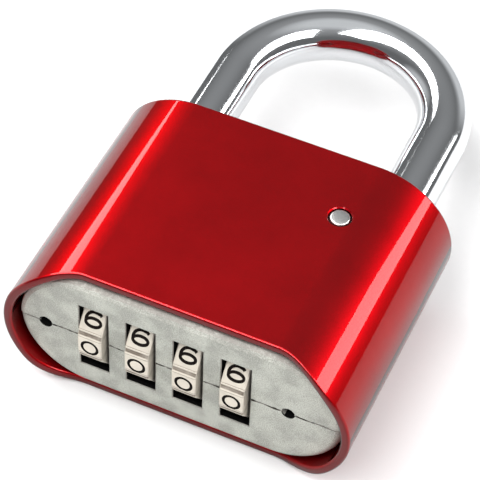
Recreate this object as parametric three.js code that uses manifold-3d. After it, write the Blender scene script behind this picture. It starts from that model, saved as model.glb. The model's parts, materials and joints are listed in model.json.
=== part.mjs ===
// Combination padlock with four number dials on its lower end, lying on its back.
// Millimetres, +Z up: X runs across the body, +Y points from the dials to the shackle.
// Every piece is drawn in the body's own frame, where y = 0 is the lower edge of the
// sleeve's flat faces and z = 0 is its flat back. The last group moves the origin to
// the middle of the whole lock's footprint.

import * as THREE from 'three';
import { mergeVertices } from 'three/addons/utils/BufferGeometryUtils.js';
import Module from 'manifold-3d';

const wasm = await Module();
wasm.setup();

// ---------------------------------------------------------------- driving dimensions

const BODY_WIDTH = 50;
const BODY_THICKNESS = 23.2;
const BODY_LENGTH = 34.6;
const WALL = 1.3;
const EAR_DEPTH = 2.3; // how far the rim's ends stand below its flat edges
const EAR_START_X = 13.7;
const EAR_FULL_X = 22.3;
const SLIP = 0.3; // gap between pieces that touch or slide
const SNUG = 0.12; // gap round a pin or shaft in its hole
const ROOM = 0.4; // gap round what moves inside the core
const PAST = 1; // how far a cut runs on past the piece it cuts

const CORE_FACE_Y = -0.7;
const CORE_TOP_Y = BODY_LENGTH - 1;
const CORE_ROUND = 0.9;
const PARTING_GAP = 0.16;
const MID_Z = BODY_THICKNESS / 2;

const DIAL_COUNT = 4;
const DIAL_PITCH = 6.84;
const DIAL_ROW_X = -1.95; // the row stands off centre to leave room for the long leg
const DIAL_WIDTH = 3.45;
const DIAL_FACETS = 10;
const DIAL_APOTHEM = 6.8;
const DIAL_AXIS_Y = 4.75;
const DIAL_GROOVE_WIDTH = 0.7;
const DIAL_GROOVE_DEPTH = 0.22;
const WINDOW_WIDTH = 4.2;
const WINDOW_HEIGHT = 11.9;

const SPINDLE_RADIUS = 1.1;
const HUB_RADIUS = 2.15;
const FLANGE_RADIUS = 3.4;
const FLANGE_THICKNESS = 1.7;
const GATE_WIDTH = 2.1;
const GATE_DEPTH = 1.2;
const KEY_HALF_WIDTH = 0.5;
const KEY_HEIGHT = 0.8;
const SPINDLE_LEFT_REACH = 0.8; // how far its ends sit in the core's walls
const SPINDLE_RIGHT_REACH = 0.7;
const WASHER_RADIUS = 2.6;
const WASHER_THICKNESS = 0.4;
const END_SPRING_ROOM = 2.3; // left of the row, for the spring that presses it right
const END_SPRING_LENGTH = 1.2;

const ROD_RADIUS = 3.97; // 5/16 in bar
const LEG_SPACING = 32;
const SHACKLE_X = -0.25;
const SHACKLE_Z = 11;
const SHACKLE_TOP_Y = 68.9; // axis of the bar at the top of the bow
const SHACKLE_TRAVEL = 11;
const HEEL_END_Y = 9.5;
const TOE_END_Y = 25;
const BORE_SLIP = 0.33;

const PIN_X = 12.05;
const PIN_Y = 23.8;
const PIN_RADIUS = 1.45;
const RELIEF_DEPTH = 2.05; // flat on the heel leg that slides past the pin

const DOG_Y = 29.2;
const DOG_HEIGHT = 2.4;
const DOG_DEPTH = 4;
const DOG_THROW = 1.8;
const FENCE_LIFT = 1.08;

// ---------------------------------------------------------------- places worked out

const HEEL_X = SHACKLE_X + LEG_SPACING / 2;
const TOE_X = SHACKLE_X - LEG_SPACING / 2;
const BORE_RADIUS = ROD_RADIUS + BORE_SLIP;
const DIAL_RADIUS = DIAL_APOTHEM / Math.cos(Math.PI / DIAL_FACETS);
const DIAL_CAVITY_RADIUS = DIAL_RADIUS + 0.45;
const dialX = (index) => DIAL_ROW_X + (index - (DIAL_COUNT - 1) / 2) * DIAL_PITCH;
const FLANGE_OFFSET_X = -(DIAL_WIDTH / 2 + SLIP + FLANGE_THICKNESS / 2);
const ROW_LEFT_X = dialX(0) + FLANGE_OFFSET_X - FLANGE_THICKNESS / 2;
const ROW_RIGHT_X = dialX(DIAL_COUNT - 1) + DIAL_WIDTH / 2;
const OVERALL_TOP_Y = SHACKLE_TOP_Y + ROD_RADIUS;
const CENTRE_Y = (OVERALL_TOP_Y - EAR_DEPTH) / 2;

// ---------------------------------------------------------------- finishes

const finish = (color, roughness, metalness) =>
  new THREE.MeshStandardMaterial({ color, roughness, metalness });
const redLacquer = finish(0xa80d18, 0.22, 0.75);
const castZinc = finish(0xb9bdb9, 0.55, 0.7);
const chrome = finish(0xd8dadc, 0.08, 1);
const dialNickel = finish(0xd9d2bf, 0.35, 0.6);
const brass = finish(0xb99a55, 0.35, 0.9);
const steel = finish(0x9a9da0, 0.35, 0.9);
const springSteel = finish(0x7d8084, 0.3, 0.95);

// ---------------------------------------------------------------- solids

function solid(geometry) {
  const bare = geometry.clone();
  bare.deleteAttribute('normal');
  bare.deleteAttribute('uv');
  const merged = mergeVertices(bare, 1e-4);
  return new wasm.Manifold(new wasm.Mesh({
    numProp: 3,
    vertProperties: new Float32Array(merged.attributes.position.array),
    triVerts: new Uint32Array(merged.index.array),
  }));
}

function geometryOf(manifold) {
  const mesh = manifold.getMesh();
  const geometry = new THREE.BufferGeometry();
  geometry.setAttribute('position', new THREE.BufferAttribute(mesh.vertProperties, 3));
  geometry.setIndex(new THREE.BufferAttribute(mesh.triVerts, 1));
  geometry.computeVertexNormals();
  return geometry;
}

const join = (parts) => parts.reduce((whole, part) => whole.add(part));
const cut = (whole, parts) => parts.reduce((rest, part) => rest.subtract(part), whole);

// A box between two opposite corners.
function block([x0, y0, z0], [x1, y1, z1]) {
  const geometry = new THREE.BoxGeometry(x1 - x0, y1 - y0, z1 - z0);
  geometry.translate((x0 + x1) / 2, (y0 + y1) / 2, (z0 + z1) / 2);
  return solid(geometry);
}

// Round bars along each axis, from one end to the other.
function barX(radius, x0, x1, y, z, sides = 32) {
  const geometry = new THREE.CylinderGeometry(radius, radius, x1 - x0, sides);
  geometry.rotateZ(-Math.PI / 2);
  geometry.translate((x0 + x1) / 2, y, z);
  return solid(geometry);
}

function barY(radius, y0, y1, x, z, sides = 32) {
  const geometry = new THREE.CylinderGeometry(radius, radius, y1 - y0, sides);
  geometry.translate(x, (y0 + y1) / 2, z);
  return solid(geometry);
}

function barZ(radius, z0, z1, x, y, sides = 32) {
  const geometry = new THREE.CylinderGeometry(radius, radius, z1 - z0, sides);
  geometry.rotateX(Math.PI / 2);
  geometry.translate(x, y, (z0 + z1) / 2);
  return solid(geometry);
}

// Carries a drawing's first axis to y, its second to z and its depth to x.
const ALONG_X = new THREE.Matrix4().makeBasis(
  new THREE.Vector3(0, 1, 0),
  new THREE.Vector3(0, 0, 1),
  new THREE.Vector3(1, 0, 0),
);

// A closed outline of straight sides, from a list of points.
function outline(points) {
  return new THREE.Shape(points.map(([u, v]) => new THREE.Vector2(u, v)));
}

// An outline drawn in y and z, extruded along X.
function slabX(shape, x0, x1, curveSegments = 12) {
  const geometry = new THREE.ExtrudeGeometry(shape, {
    depth: x1 - x0,
    bevelEnabled: false,
    curveSegments,
  });
  geometry.applyMatrix4(ALONG_X);
  geometry.translate(x0, 0, 0);
  return geometry;
}

// An outline drawn in x and y, extruded along Z.
function slabZ(shape, z0, z1) {
  const geometry = new THREE.ExtrudeGeometry(shape, { depth: z1 - z0, bevelEnabled: false });
  geometry.translate(0, 0, z0);
  return geometry;
}

// The body's section: two flat faces joined by half rounds, drawn in x and z.
function obround(inset) {
  const radius = BODY_THICKNESS / 2 - inset;
  const flat = (BODY_WIDTH - BODY_THICKNESS) / 2;
  const shape = new THREE.Shape();
  shape.moveTo(-flat, MID_Z - radius);
  shape.lineTo(flat, MID_Z - radius);
  shape.absarc(flat, MID_Z, radius, -Math.PI / 2, Math.PI / 2, false);
  shape.lineTo(-flat, MID_Z + radius);
  shape.absarc(-flat, MID_Z, radius, Math.PI / 2, Math.PI * 1.5, false);
  return shape;
}

// An obround bar along Y between two heights, with rounded ends inside its length.
function obroundBar(inset, y0, y1, round = 0) {
  const geometry = new THREE.ExtrudeGeometry(obround(inset + round), {
    depth: y1 - y0 - 2 * round,
    bevelEnabled: round > 0,
    bevelThickness: round,
    bevelSize: round,
    bevelSegments: 2,
    curveSegments: 18,
  });
  geometry.rotateX(Math.PI / 2);
  geometry.translate(0, y1 - round, 0);
  return solid(geometry);
}

// A close coil: a round wire along a helix whose axis is Z, centred on the origin.
class Helix extends THREE.Curve {
  constructor(radius, length, turns) {
    super();
    this.radius = radius;
    this.length = length;
    this.turns = turns;
  }

  getPoint(t, target = new THREE.Vector3()) {
    const angle = t * this.turns * Math.PI * 2;
    return target.set(
      this.radius * Math.cos(angle),
      this.radius * Math.sin(angle),
      (t - 0.5) * this.length,
    );
  }
}

function round(radius) {
  const shape = new THREE.Shape();
  shape.absarc(0, 0, radius, 0, Math.PI * 2, false);
  return shape;
}

function coil(wireRadius, coilRadius, length, turns) {
  return new THREE.ExtrudeGeometry(round(wireRadius), {
    extrudePath: new Helix(coilRadius, length - 2 * wireRadius, turns),
    steps: Math.round(turns * 11),
    curveSegments: 3,
    bevelEnabled: false,
  });
}

// ---------------------------------------------------------------- sleeve

// How far the rim stands below y = 0 at a place across the body: nothing over the
// flat faces, swelling smoothly to the full ear round the ends.
function rimDrop(x) {
  const t = THREE.MathUtils.smoothstep(Math.abs(x), EAR_START_X, EAR_FULL_X);
  return -EAR_DEPTH * t;
}

function buildShell() {
  const steps = 12;
  const margin = 2;
  const end = BODY_WIDTH / 2 + margin;
  const edge = [];
  for (let step = 0; step <= steps; step += 1) {
    const x = EAR_START_X + ((EAR_FULL_X - EAR_START_X) * step) / steps;
    edge.push([x, rimDrop(x)]);
  }
  const left = edge.map(([x, y]) => [-x, y]).reverse();
  const below = outline([
    [-end, -EAR_DEPTH - margin],
    [end, -EAR_DEPTH - margin],
    [end, -EAR_DEPTH],
    ...edge.slice().reverse(),
    ...left.slice().reverse(),
    [-end, -EAR_DEPTH],
  ]);
  return geometryOf(cut(obroundBar(0, -EAR_DEPTH, BODY_LENGTH), [
    obroundBar(WALL, -EAR_DEPTH - margin, BODY_LENGTH + margin),
    solid(slabZ(below, -margin, BODY_THICKNESS + margin)),
    barZ(PIN_RADIUS + SLIP, -margin, BODY_THICKNESS + margin, PIN_X, PIN_Y, 24),
  ]));
}

// ---------------------------------------------------------------- core

const CAVITY_LEFT_X = ROW_LEFT_X - END_SPRING_ROOM;
const CAVITY_RIGHT_X = ROW_RIGHT_X + SLIP;
const SPINDLE_LEFT_X = CAVITY_LEFT_X - SPINDLE_LEFT_REACH;
const SPINDLE_RIGHT_X = CAVITY_RIGHT_X + SPINDLE_RIGHT_REACH;
const FENCE_BOTTOM_Y = 12.4;
const FENCE_TOP_Y = 14.6;
const FENCE_LEFT_X = ROW_LEFT_X - 0.5;
const FENCE_RIGHT_X = dialX(DIAL_COUNT - 1) + 0.6;
const FENCE_HALF_DEPTH = 1.9;
const FINGER_HALF_WIDTH = 0.65;
const FINGER_HALF_DEPTH = 0.8;
const WEDGE_SLOT_HALF = 5;
const WEDGE_SLOT_Y = 24.6;
const SPRING_WELL_RADIUS = 2;
const OVERLAP = 0.5; // how deep joined blocks run into each other
const FENCE_SPRING_XS = [-11, 3.6];
const FENCE_SPRING_TOP_Y = 19.4;
const STEM_HALF_WIDTH = 1.6;
const HEEL_SPRING_BOTTOM_Y = 3;
const DRAIN_RADIUS = 0.8;
const DRAIN_LEFT_X = -19.35;
const DOWEL_RADIUS = 1;
const DOWEL_HALF_LENGTH = 4.5;
const DOWELS = [[-19.3, 15], [8, 21.5]];
const COMB_Z = 4.6;
const COMB_SHEET = 0.45;
const COMB_LOW_Y = 13.2;
const COMB_HIGH_Y = 15;
const COMB_LEFT_X = dialX(0) - 2;
const COMB_RIGHT_X = dialX(DIAL_COUNT - 1) + 1.7;
const COMB_CONTACT_DEGREES = -38; // from +Y about the dials' axis
const COMB_FINGER_HALF = 1.2;
const COMB_POCKET_LOW_Y = 9.4;

function coreCavities() {
  const endPlay = 0.2;
  const spindleLeft = SPINDLE_LEFT_X - endPlay;
  const spindleRight = SPINDLE_RIGHT_X + endPlay;
  const toeRest = 0.8;
  const drainEnd = 3;
  const cavities = [
    barX(FLANGE_RADIUS + ROOM, CAVITY_LEFT_X, CAVITY_RIGHT_X, DIAL_AXIS_Y, MID_Z),
    barX(SPINDLE_RADIUS + SNUG, spindleLeft, spindleRight, DIAL_AXIS_Y, MID_Z, 20),
    barY(BORE_RADIUS, HEEL_SPRING_BOTTOM_Y - SLIP, BODY_LENGTH, HEEL_X, SHACKLE_Z, 40),
    barY(BORE_RADIUS, TOE_END_Y - toeRest, BODY_LENGTH, TOE_X, SHACKLE_Z, 40),
    barZ(PIN_RADIUS + SNUG, -PAST, BODY_THICKNESS + PAST, PIN_X, PIN_Y, 24),
    barY(DRAIN_RADIUS, CORE_FACE_Y - PAST, HEEL_SPRING_BOTTOM_Y, HEEL_X, MID_Z, 16),
    barY(DRAIN_RADIUS, CORE_FACE_Y - PAST, drainEnd, DRAIN_LEFT_X, MID_Z, 16),
  ];
  for (let index = 0; index < DIAL_COUNT; index += 1) {
    const x = dialX(index);
    const half = WINDOW_WIDTH / 2;
    cavities.push(barX(DIAL_CAVITY_RADIUS, x - half, x + half, DIAL_AXIS_Y, MID_Z, 40));
    cavities.push(block(
      [x - half, CORE_FACE_Y - PAST, MID_Z - WINDOW_HEIGHT / 2],
      [x + half, DIAL_AXIS_Y, MID_Z + WINDOW_HEIGHT / 2],
    ));
    // the way down to the sleeve's flange for the fence's finger
    const finger = x + FLANGE_OFFSET_X;
    const wayWidth = FINGER_HALF_WIDTH + 0.35;
    const wayDepth = FINGER_HALF_DEPTH + 0.5;
    cavities.push(block(
      [finger - wayWidth, DIAL_AXIS_Y, MID_Z - wayDepth],
      [finger + wayWidth, FENCE_TOP_Y, MID_Z + wayDepth],
    ));
  }
  const fenceDepth = FENCE_HALF_DEPTH + ROOM;
  const dropRoom = 0.5;
  cavities.push(block(
    [FENCE_LEFT_X - ROOM, FENCE_BOTTOM_Y - dropRoom, MID_Z - fenceDepth],
    [FENCE_RIGHT_X + ROOM, FENCE_TOP_Y + FENCE_LIFT + ROOM, MID_Z + fenceDepth],
  ));
  const wellTop = FENCE_SPRING_TOP_Y + FENCE_LIFT + dropRoom;
  for (const x of FENCE_SPRING_XS) {
    cavities.push(barY(SPRING_WELL_RADIUS, FENCE_TOP_Y, wellTop, x, MID_Z, 24));
  }
  // the stem's slot and the dogs' common guideway
  const stem = STEM_HALF_WIDTH + ROOM;
  cavities.push(block(
    [SHACKLE_X - stem, FENCE_TOP_Y, MID_Z - fenceDepth],
    [SHACKLE_X + stem, DOG_Y, MID_Z + fenceDepth],
  ));
  cavities.push(block(
    [TOE_X, DOG_Y - DOG_HEIGHT / 2 - SLIP, MID_Z - DOG_DEPTH / 2 - SLIP],
    [HEEL_X, DOG_Y + DOG_HEIGHT / 2 + SLIP, MID_Z + DOG_DEPTH / 2 + SLIP],
  ));
  cavities.push(block(
    [SHACKLE_X - WEDGE_SLOT_HALF, WEDGE_SLOT_Y, MID_Z - fenceDepth],
    [SHACKLE_X + WEDGE_SLOT_HALF, DOG_Y, MID_Z + fenceDepth],
  ));
  for (const [x, y] of DOWELS) {
    const reach = DOWEL_HALF_LENGTH + SLIP;
    cavities.push(barZ(DOWEL_RADIUS + SNUG, MID_Z - reach, MID_Z + reach, x, y, 16));
  }
  // the comb's pocket behind the dials
  const belowSheet = 0.9;
  const wallLeft = 0.5;
  cavities.push(block(
    [COMB_LEFT_X - ROOM, COMB_POCKET_LOW_Y, COMB_Z - belowSheet],
    [COMB_RIGHT_X + ROOM, COMB_HIGH_Y + ROOM, MID_Z - wallLeft],
  ));
  return cavities;
}

function buildCores() {
  const whole = cut(obroundBar(WALL + SLIP, CORE_FACE_Y, CORE_TOP_Y, CORE_ROUND), coreCavities());
  const reach = BODY_WIDTH;
  const half = PARTING_GAP / 2;
  const front = block([-reach, -reach, MID_Z + half], [reach, reach, BODY_THICKNESS + PAST]);
  const rear = block([-reach, -reach, -PAST], [reach, reach, MID_Z - half]);
  return { front: geometryOf(whole.intersect(front)), rear: geometryOf(whole.intersect(rear)) };
}

// ---------------------------------------------------------------- shackle

// Up the heel leg, round the bow and down the toe leg.
class Bow extends THREE.Curve {
  getPoint(t, target = new THREE.Vector3()) {
    const radius = LEG_SPACING / 2;
    const springY = SHACKLE_TOP_Y - radius;
    const heel = springY - HEEL_END_Y;
    const arc = Math.PI * radius;
    const toe = springY - TOE_END_Y;
    const run = t * (heel + arc + toe);
    if (run < heel) {
      return target.set(HEEL_X, HEEL_END_Y + run, SHACKLE_Z);
    }
    if (run > heel + arc) {
      return target.set(TOE_X, springY - (run - heel - arc), SHACKLE_Z);
    }
    const angle = (run - heel) / radius;
    return target.set(
      SHACKLE_X + radius * Math.cos(angle),
      springY + radius * Math.sin(angle),
      SHACKLE_Z,
    );
  }
}

function buildShackle() {
  const bar = new THREE.ExtrudeGeometry(round(ROD_RADIUS), {
    extrudePath: new Bow(),
    steps: 60,
    curveSegments: 10,
    bevelEnabled: false,
  });
  const outside = ROD_RADIUS + PAST;
  const inner = HEEL_X - ROD_RADIUS;
  const reliefX = inner + RELIEF_DEPTH;
  const reliefLow = PIN_Y - SHACKLE_TRAVEL - PIN_RADIUS - SLIP;
  const reliefHigh = PIN_Y + PIN_RADIUS + SLIP;
  const neckHigh = reliefLow + 2 * (PIN_RADIUS + SLIP);
  const neckFillet = 0.15;
  const neckRadius = ROD_RADIUS - RELIEF_DEPTH + neckFillet;
  const neck = cut(
    barY(outside, reliefLow, neckHigh, HEEL_X, SHACKLE_Z, 24),
    [barY(neckRadius, reliefLow - PAST, neckHigh + PAST, HEEL_X, SHACKLE_Z, 24)],
  );
  const notch = DOG_HEIGHT / 2 + 0.5;
  const notchDepth = DOG_THROW + ROOM;
  const toeInner = TOE_X + ROD_RADIUS;
  const low = SHACKLE_Z - outside;
  const high = SHACKLE_Z + outside;
  return geometryOf(cut(solid(bar), [
    neck,
    block([inner - PAST, reliefLow, low], [reliefX, reliefHigh, high]),
    block([inner - PAST, DOG_Y - notch, low], [inner + notchDepth, DOG_Y + notch, high]),
    block([toeInner - notchDepth, DOG_Y - notch, low], [toeInner + PAST, DOG_Y + notch, high]),
  ]));
}

// ---------------------------------------------------------------- dials and sleeves

// A ten-sided wheel with a shallow groove along each corner, drawn about its axis.
// Its first flat faces the lower end of the body.
function buildDial() {
  const step = (Math.PI * 2) / DIAL_FACETS;
  const half = DIAL_APOTHEM * Math.tan(step / 2) - DIAL_GROOVE_WIDTH / 2;
  const cornerLoss = 0.12; // what the groove takes off the ten-sided form's corner
  const floor = DIAL_RADIUS - DIAL_GROOVE_DEPTH - cornerLoss;
  const floorShare = 0.3;
  const points = [];
  for (let facet = 0; facet < DIAL_FACETS; facet += 1) {
    const angle = Math.PI + facet * step;
    const spread = Math.atan2(half, DIAL_APOTHEM);
    const reach = Math.hypot(half, DIAL_APOTHEM);
    const groove = (DIAL_GROOVE_WIDTH * floorShare) / DIAL_RADIUS;
    points.push([reach * Math.cos(angle - spread), reach * Math.sin(angle - spread)]);
    points.push([reach * Math.cos(angle + spread), reach * Math.sin(angle + spread)]);
    for (const side of [-groove, groove]) {
      const turn = angle + step / 2 + side;
      points.push([floor * Math.cos(turn), floor * Math.sin(turn)]);
    }
  }
  const wheel = solid(slabX(outline(points), -DIAL_WIDTH / 2, DIAL_WIDTH / 2));
  const bore = barX(HUB_RADIUS + SLIP, -DIAL_WIDTH, DIAL_WIDTH, 0, 0, 28);
  const keywayHalf = KEY_HALF_WIDTH + SLIP;
  const keywayFloor = -HUB_RADIUS - KEY_HEIGHT - ROOM;
  const keyway = block([-DIAL_WIDTH, -keywayHalf, keywayFloor], [DIAL_WIDTH, keywayHalf, 0]);
  return geometryOf(cut(wheel, [bore, keyway]));
}

// The sleeve that carries a dial: a keyed hub and a flange with its gate towards +Y.
function buildGateSleeve() {
  const hubLeft = -DIAL_WIDTH / 2 - SLIP;
  const flangeLeft = hubLeft - FLANGE_THICKNESS;
  const hubRight = DIAL_WIDTH / 2;
  const root = hubLeft - 0.2;
  const body = join([
    barX(HUB_RADIUS, root, hubRight, 0, 0, 28),
    barX(FLANGE_RADIUS, flangeLeft, hubLeft, 0, 0, 36),
    block([root, -KEY_HALF_WIDTH, -HUB_RADIUS - KEY_HEIGHT], [hubRight, KEY_HALF_WIDTH, 0]),
  ]);
  return geometryOf(cut(body, [
    barX(SPINDLE_RADIUS + SLIP, flangeLeft - PAST, hubRight + PAST, 0, 0, 20),
    block(
      [flangeLeft - PAST, FLANGE_RADIUS - GATE_DEPTH, -GATE_WIDTH / 2],
      [hubLeft + 0.1, FLANGE_RADIUS + PAST, GATE_WIDTH / 2],
    ),
  ]));
}

// ---------------------------------------------------------------- fence and dogs

const wedgeSlope = DOG_THROW / FENCE_LIFT;
const WEDGE_HEIGHT = 2.2;
const WEDGE_TIP_HALF = 0.5;
const WEDGE_LAP = 0.6; // how far the wedge's tip stands up between the dogs

function buildFence() {
  const tipGap = SLIP + 0.05;
  const tipY = DIAL_AXIS_Y + FLANGE_RADIUS + tipGap;
  const parts = [block(
    [FENCE_LEFT_X, FENCE_BOTTOM_Y, MID_Z - FENCE_HALF_DEPTH],
    [FENCE_RIGHT_X, FENCE_TOP_Y, MID_Z + FENCE_HALF_DEPTH],
  )];
  for (let index = 0; index < DIAL_COUNT; index += 1) {
    const x = dialX(index) + FLANGE_OFFSET_X;
    parts.push(block(
      [x - FINGER_HALF_WIDTH, tipY, MID_Z - FINGER_HALF_DEPTH],
      [x + FINGER_HALF_WIDTH, FENCE_BOTTOM_Y + OVERLAP, MID_Z + FINGER_HALF_DEPTH],
    ));
  }
  const baseHalf = WEDGE_TIP_HALF + WEDGE_HEIGHT * wedgeSlope;
  const wedgeTop = DOG_Y - DOG_HEIGHT / 2 + WEDGE_LAP;
  const wedgeBase = wedgeTop - WEDGE_HEIGHT;
  parts.push(block(
    [SHACKLE_X - STEM_HALF_WIDTH, FENCE_TOP_Y - OVERLAP, MID_Z - FENCE_HALF_DEPTH],
    [SHACKLE_X + STEM_HALF_WIDTH, wedgeBase + 0.2, MID_Z + FENCE_HALF_DEPTH],
  ));
  const wedge = outline([
    [SHACKLE_X - baseHalf, wedgeBase],
    [SHACKLE_X + baseHalf, wedgeBase],
    [SHACKLE_X + WEDGE_TIP_HALF, wedgeTop],
    [SHACKLE_X - WEDGE_TIP_HALF, wedgeTop],
  ]);
  parts.push(solid(slabZ(wedge, MID_Z - FENCE_HALF_DEPTH, MID_Z + FENCE_HALF_DEPTH)));
  return geometryOf(join(parts));
}

// A locking dog, drawn pointing along +X from the middle of the guideway. Its lower
// inner corner is cut back to the wedge's slope.
function buildDog(tipX) {
  const low = DOG_Y - DOG_HEIGHT / 2;
  const high = DOG_Y + DOG_HEIGHT / 2;
  const wedgeTop = low + WEDGE_LAP;
  const clear = 0.35;
  const slopeX = (y) => WEDGE_TIP_HALF + clear + (wedgeTop - y) * wedgeSlope;
  const profile = outline([
    [slopeX(low), low],
    [tipX, low],
    [tipX, high],
    [slopeX(wedgeTop), high],
    [slopeX(wedgeTop), wedgeTop],
  ]);
  return slabZ(profile, MID_Z - DOG_DEPTH / 2, MID_Z + DOG_DEPTH / 2);
}

// ---------------------------------------------------------------- springs and pins

// A flat spring whose four fingers click into the grooves between the dials' flats.
function buildDetentComb() {
  const sheetTop = COMB_Z + COMB_SHEET;
  const parts = [block(
    [COMB_LEFT_X, COMB_LOW_Y, COMB_Z],
    [COMB_RIGHT_X, COMB_HIGH_Y, sheetTop],
  )];
  const direction = THREE.MathUtils.degToRad(COMB_CONTACT_DEGREES);
  const contact = DIAL_RADIUS + ROOM;
  const tipY = DIAL_AXIS_Y + contact * Math.cos(direction);
  const tipZ = MID_Z + contact * Math.sin(direction);
  const rootY = COMB_LOW_Y + 0.3;
  const tipWide = 0.5;
  const tipNarrow = 0.1;
  const finger = outline([
    [rootY, COMB_Z],
    [rootY, sheetTop],
    [tipY + tipWide, tipZ + tipNarrow],
    [tipY, tipZ],
    [tipY + tipNarrow, tipZ - tipWide],
  ]);
  for (let index = 0; index < DIAL_COUNT; index += 1) {
    const x = dialX(index);
    parts.push(solid(slabX(finger, x - COMB_FINGER_HALF, x + COMB_FINGER_HALF)));
  }
  return geometryOf(join(parts));
}

// The riveted pin through both faces of the sleeve, with slightly domed ends.
function buildRetainingPin() {
  const edgeWidth = 0.3;
  const edgeDrop = 0.25;
  const profile = [
    new THREE.Vector2(0, 0),
    new THREE.Vector2(PIN_RADIUS - edgeWidth, 0),
    new THREE.Vector2(PIN_RADIUS, edgeDrop),
    new THREE.Vector2(PIN_RADIUS, BODY_THICKNESS - edgeDrop),
    new THREE.Vector2(PIN_RADIUS - edgeWidth, BODY_THICKNESS),
    new THREE.Vector2(0, BODY_THICKNESS),
  ];
  const geometry = new THREE.LatheGeometry(profile, 24);
  geometry.rotateX(Math.PI / 2);
  return geometryOf(solid(geometry));
}

// ---------------------------------------------------------------- assembly

const padlock = new THREE.Group();
padlock.position.y = -CENTRE_Y;

function place(name, geometry, material, [x, y, z] = [0, 0, 0], [rx, ry, rz] = [0, 0, 0]) {
  const mesh = new THREE.Mesh(geometry, material);
  mesh.name = name;
  mesh.position.set(x, y, z);
  mesh.rotation.set(rx, ry, rz);
  padlock.add(mesh);
  return mesh;
}

place('shell', buildShell(), redLacquer);
const cores = buildCores();
place('front_core', cores.front, castZinc);
place('rear_core', cores.rear, castZinc);
place('shackle', buildShackle(), chrome);

const dialGeometry = buildDial();
const sleeveGeometry = buildGateSleeve();
for (let index = 0; index < DIAL_COUNT; index += 1) {
  const spot = [dialX(index), DIAL_AXIS_Y, MID_Z];
  place(`dial_${index + 1}`, dialGeometry, dialNickel, spot);
  place(`gate_sleeve_${index + 1}`, sleeveGeometry, brass, spot);
}

const spindle = barX(SPINDLE_RADIUS, SPINDLE_LEFT_X, SPINDLE_RIGHT_X, DIAL_AXIS_Y, MID_Z, 20);
place('spindle', geometryOf(spindle), steel);
const quarter = Math.PI / 2;
const washerX = ROW_LEFT_X - SLIP - WASHER_THICKNESS;
const washer = cut(barX(WASHER_RADIUS, 0, WASHER_THICKNESS, 0, 0, 24), [
  barX(SPINDLE_RADIUS + SLIP, -PAST, PAST, 0, 0, 20),
]);
place('spindle_washer', geometryOf(washer), steel, [washerX, DIAL_AXIS_Y, MID_Z]);
const endSpring = { wire: 0.18, radius: 2, turns: 2 };
const endSpringX = CAVITY_LEFT_X + SLIP / 2 + END_SPRING_LENGTH / 2;
place(
  'spindle_spring',
  coil(endSpring.wire, endSpring.radius, END_SPRING_LENGTH, endSpring.turns),
  springSteel,
  [endSpringX, DIAL_AXIS_Y, MID_Z],
  [0, quarter, 0],
);

place('fence', buildFence(), steel);
const fenceSpring = { wire: 0.25, radius: 1.4, turns: 5 };
FENCE_SPRING_XS.forEach((x, index) => {
  const length = FENCE_SPRING_TOP_Y - FENCE_TOP_Y - SLIP - FENCE_LIFT;
  place(
    `fence_spring_${index + 1}`,
    coil(fenceSpring.wire, fenceSpring.radius, length, fenceSpring.turns),
    springSteel,
    [x, FENCE_TOP_Y + SLIP / 2 + length / 2, MID_Z],
    [quarter, 0, 0],
  );
});

const dogReach = LEG_SPACING / 2 - BORE_RADIUS - SLIP;
place('heel_dog', buildDog(dogReach), steel, [SHACKLE_X, 0, 0]);
place('toe_dog', buildDog(dogReach), steel, [SHACKLE_X, 0, 2 * MID_Z], [0, Math.PI, 0]);

const heelSpringLength = HEEL_END_Y - HEEL_SPRING_BOTTOM_Y - SLIP;
const heelSpring = { wire: 0.4, radius: 3, turns: 6 };
place(
  'shackle_spring',
  coil(heelSpring.wire, heelSpring.radius, heelSpringLength, heelSpring.turns),
  springSteel,
  [HEEL_X, HEEL_SPRING_BOTTOM_Y + heelSpringLength / 2, SHACKLE_Z],
  [quarter, 0, 0],
);
place('retaining_pin', buildRetainingPin(), steel, [PIN_X, PIN_Y, 0]);
place('detent_comb', buildDetentComb(), springSteel);
DOWELS.forEach(([x, y], index) => {
  const pin = barZ(DOWEL_RADIUS, -DOWEL_HALF_LENGTH, DOWEL_HALF_LENGTH, 0, 0, 16);
  place(`core_dowel_${index + 1}`, geometryOf(pin), steel, [x, y, MID_Z]);
});

export default padlock;
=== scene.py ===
"""A red combination padlock lying on its back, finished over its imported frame.

The frame gives every piece its place and size. Each sub-assembly of the lock is a class
that builds finer meshes in those places and dresses them: the lacquered sleeve, the two
halves of the zinc casting, the chrome shackle, the four number wheels and the works
inside. Lengths are in metres. The lock lies along Y with its dials at the low end, and
its front face looks up along Z.
"""

import json
import logging
import math
from dataclasses import dataclass
from enum import Enum
from typing import Any, Iterable, Sequence

import bmesh
import bpy
from mathutils import Matrix, Vector, noise

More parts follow.
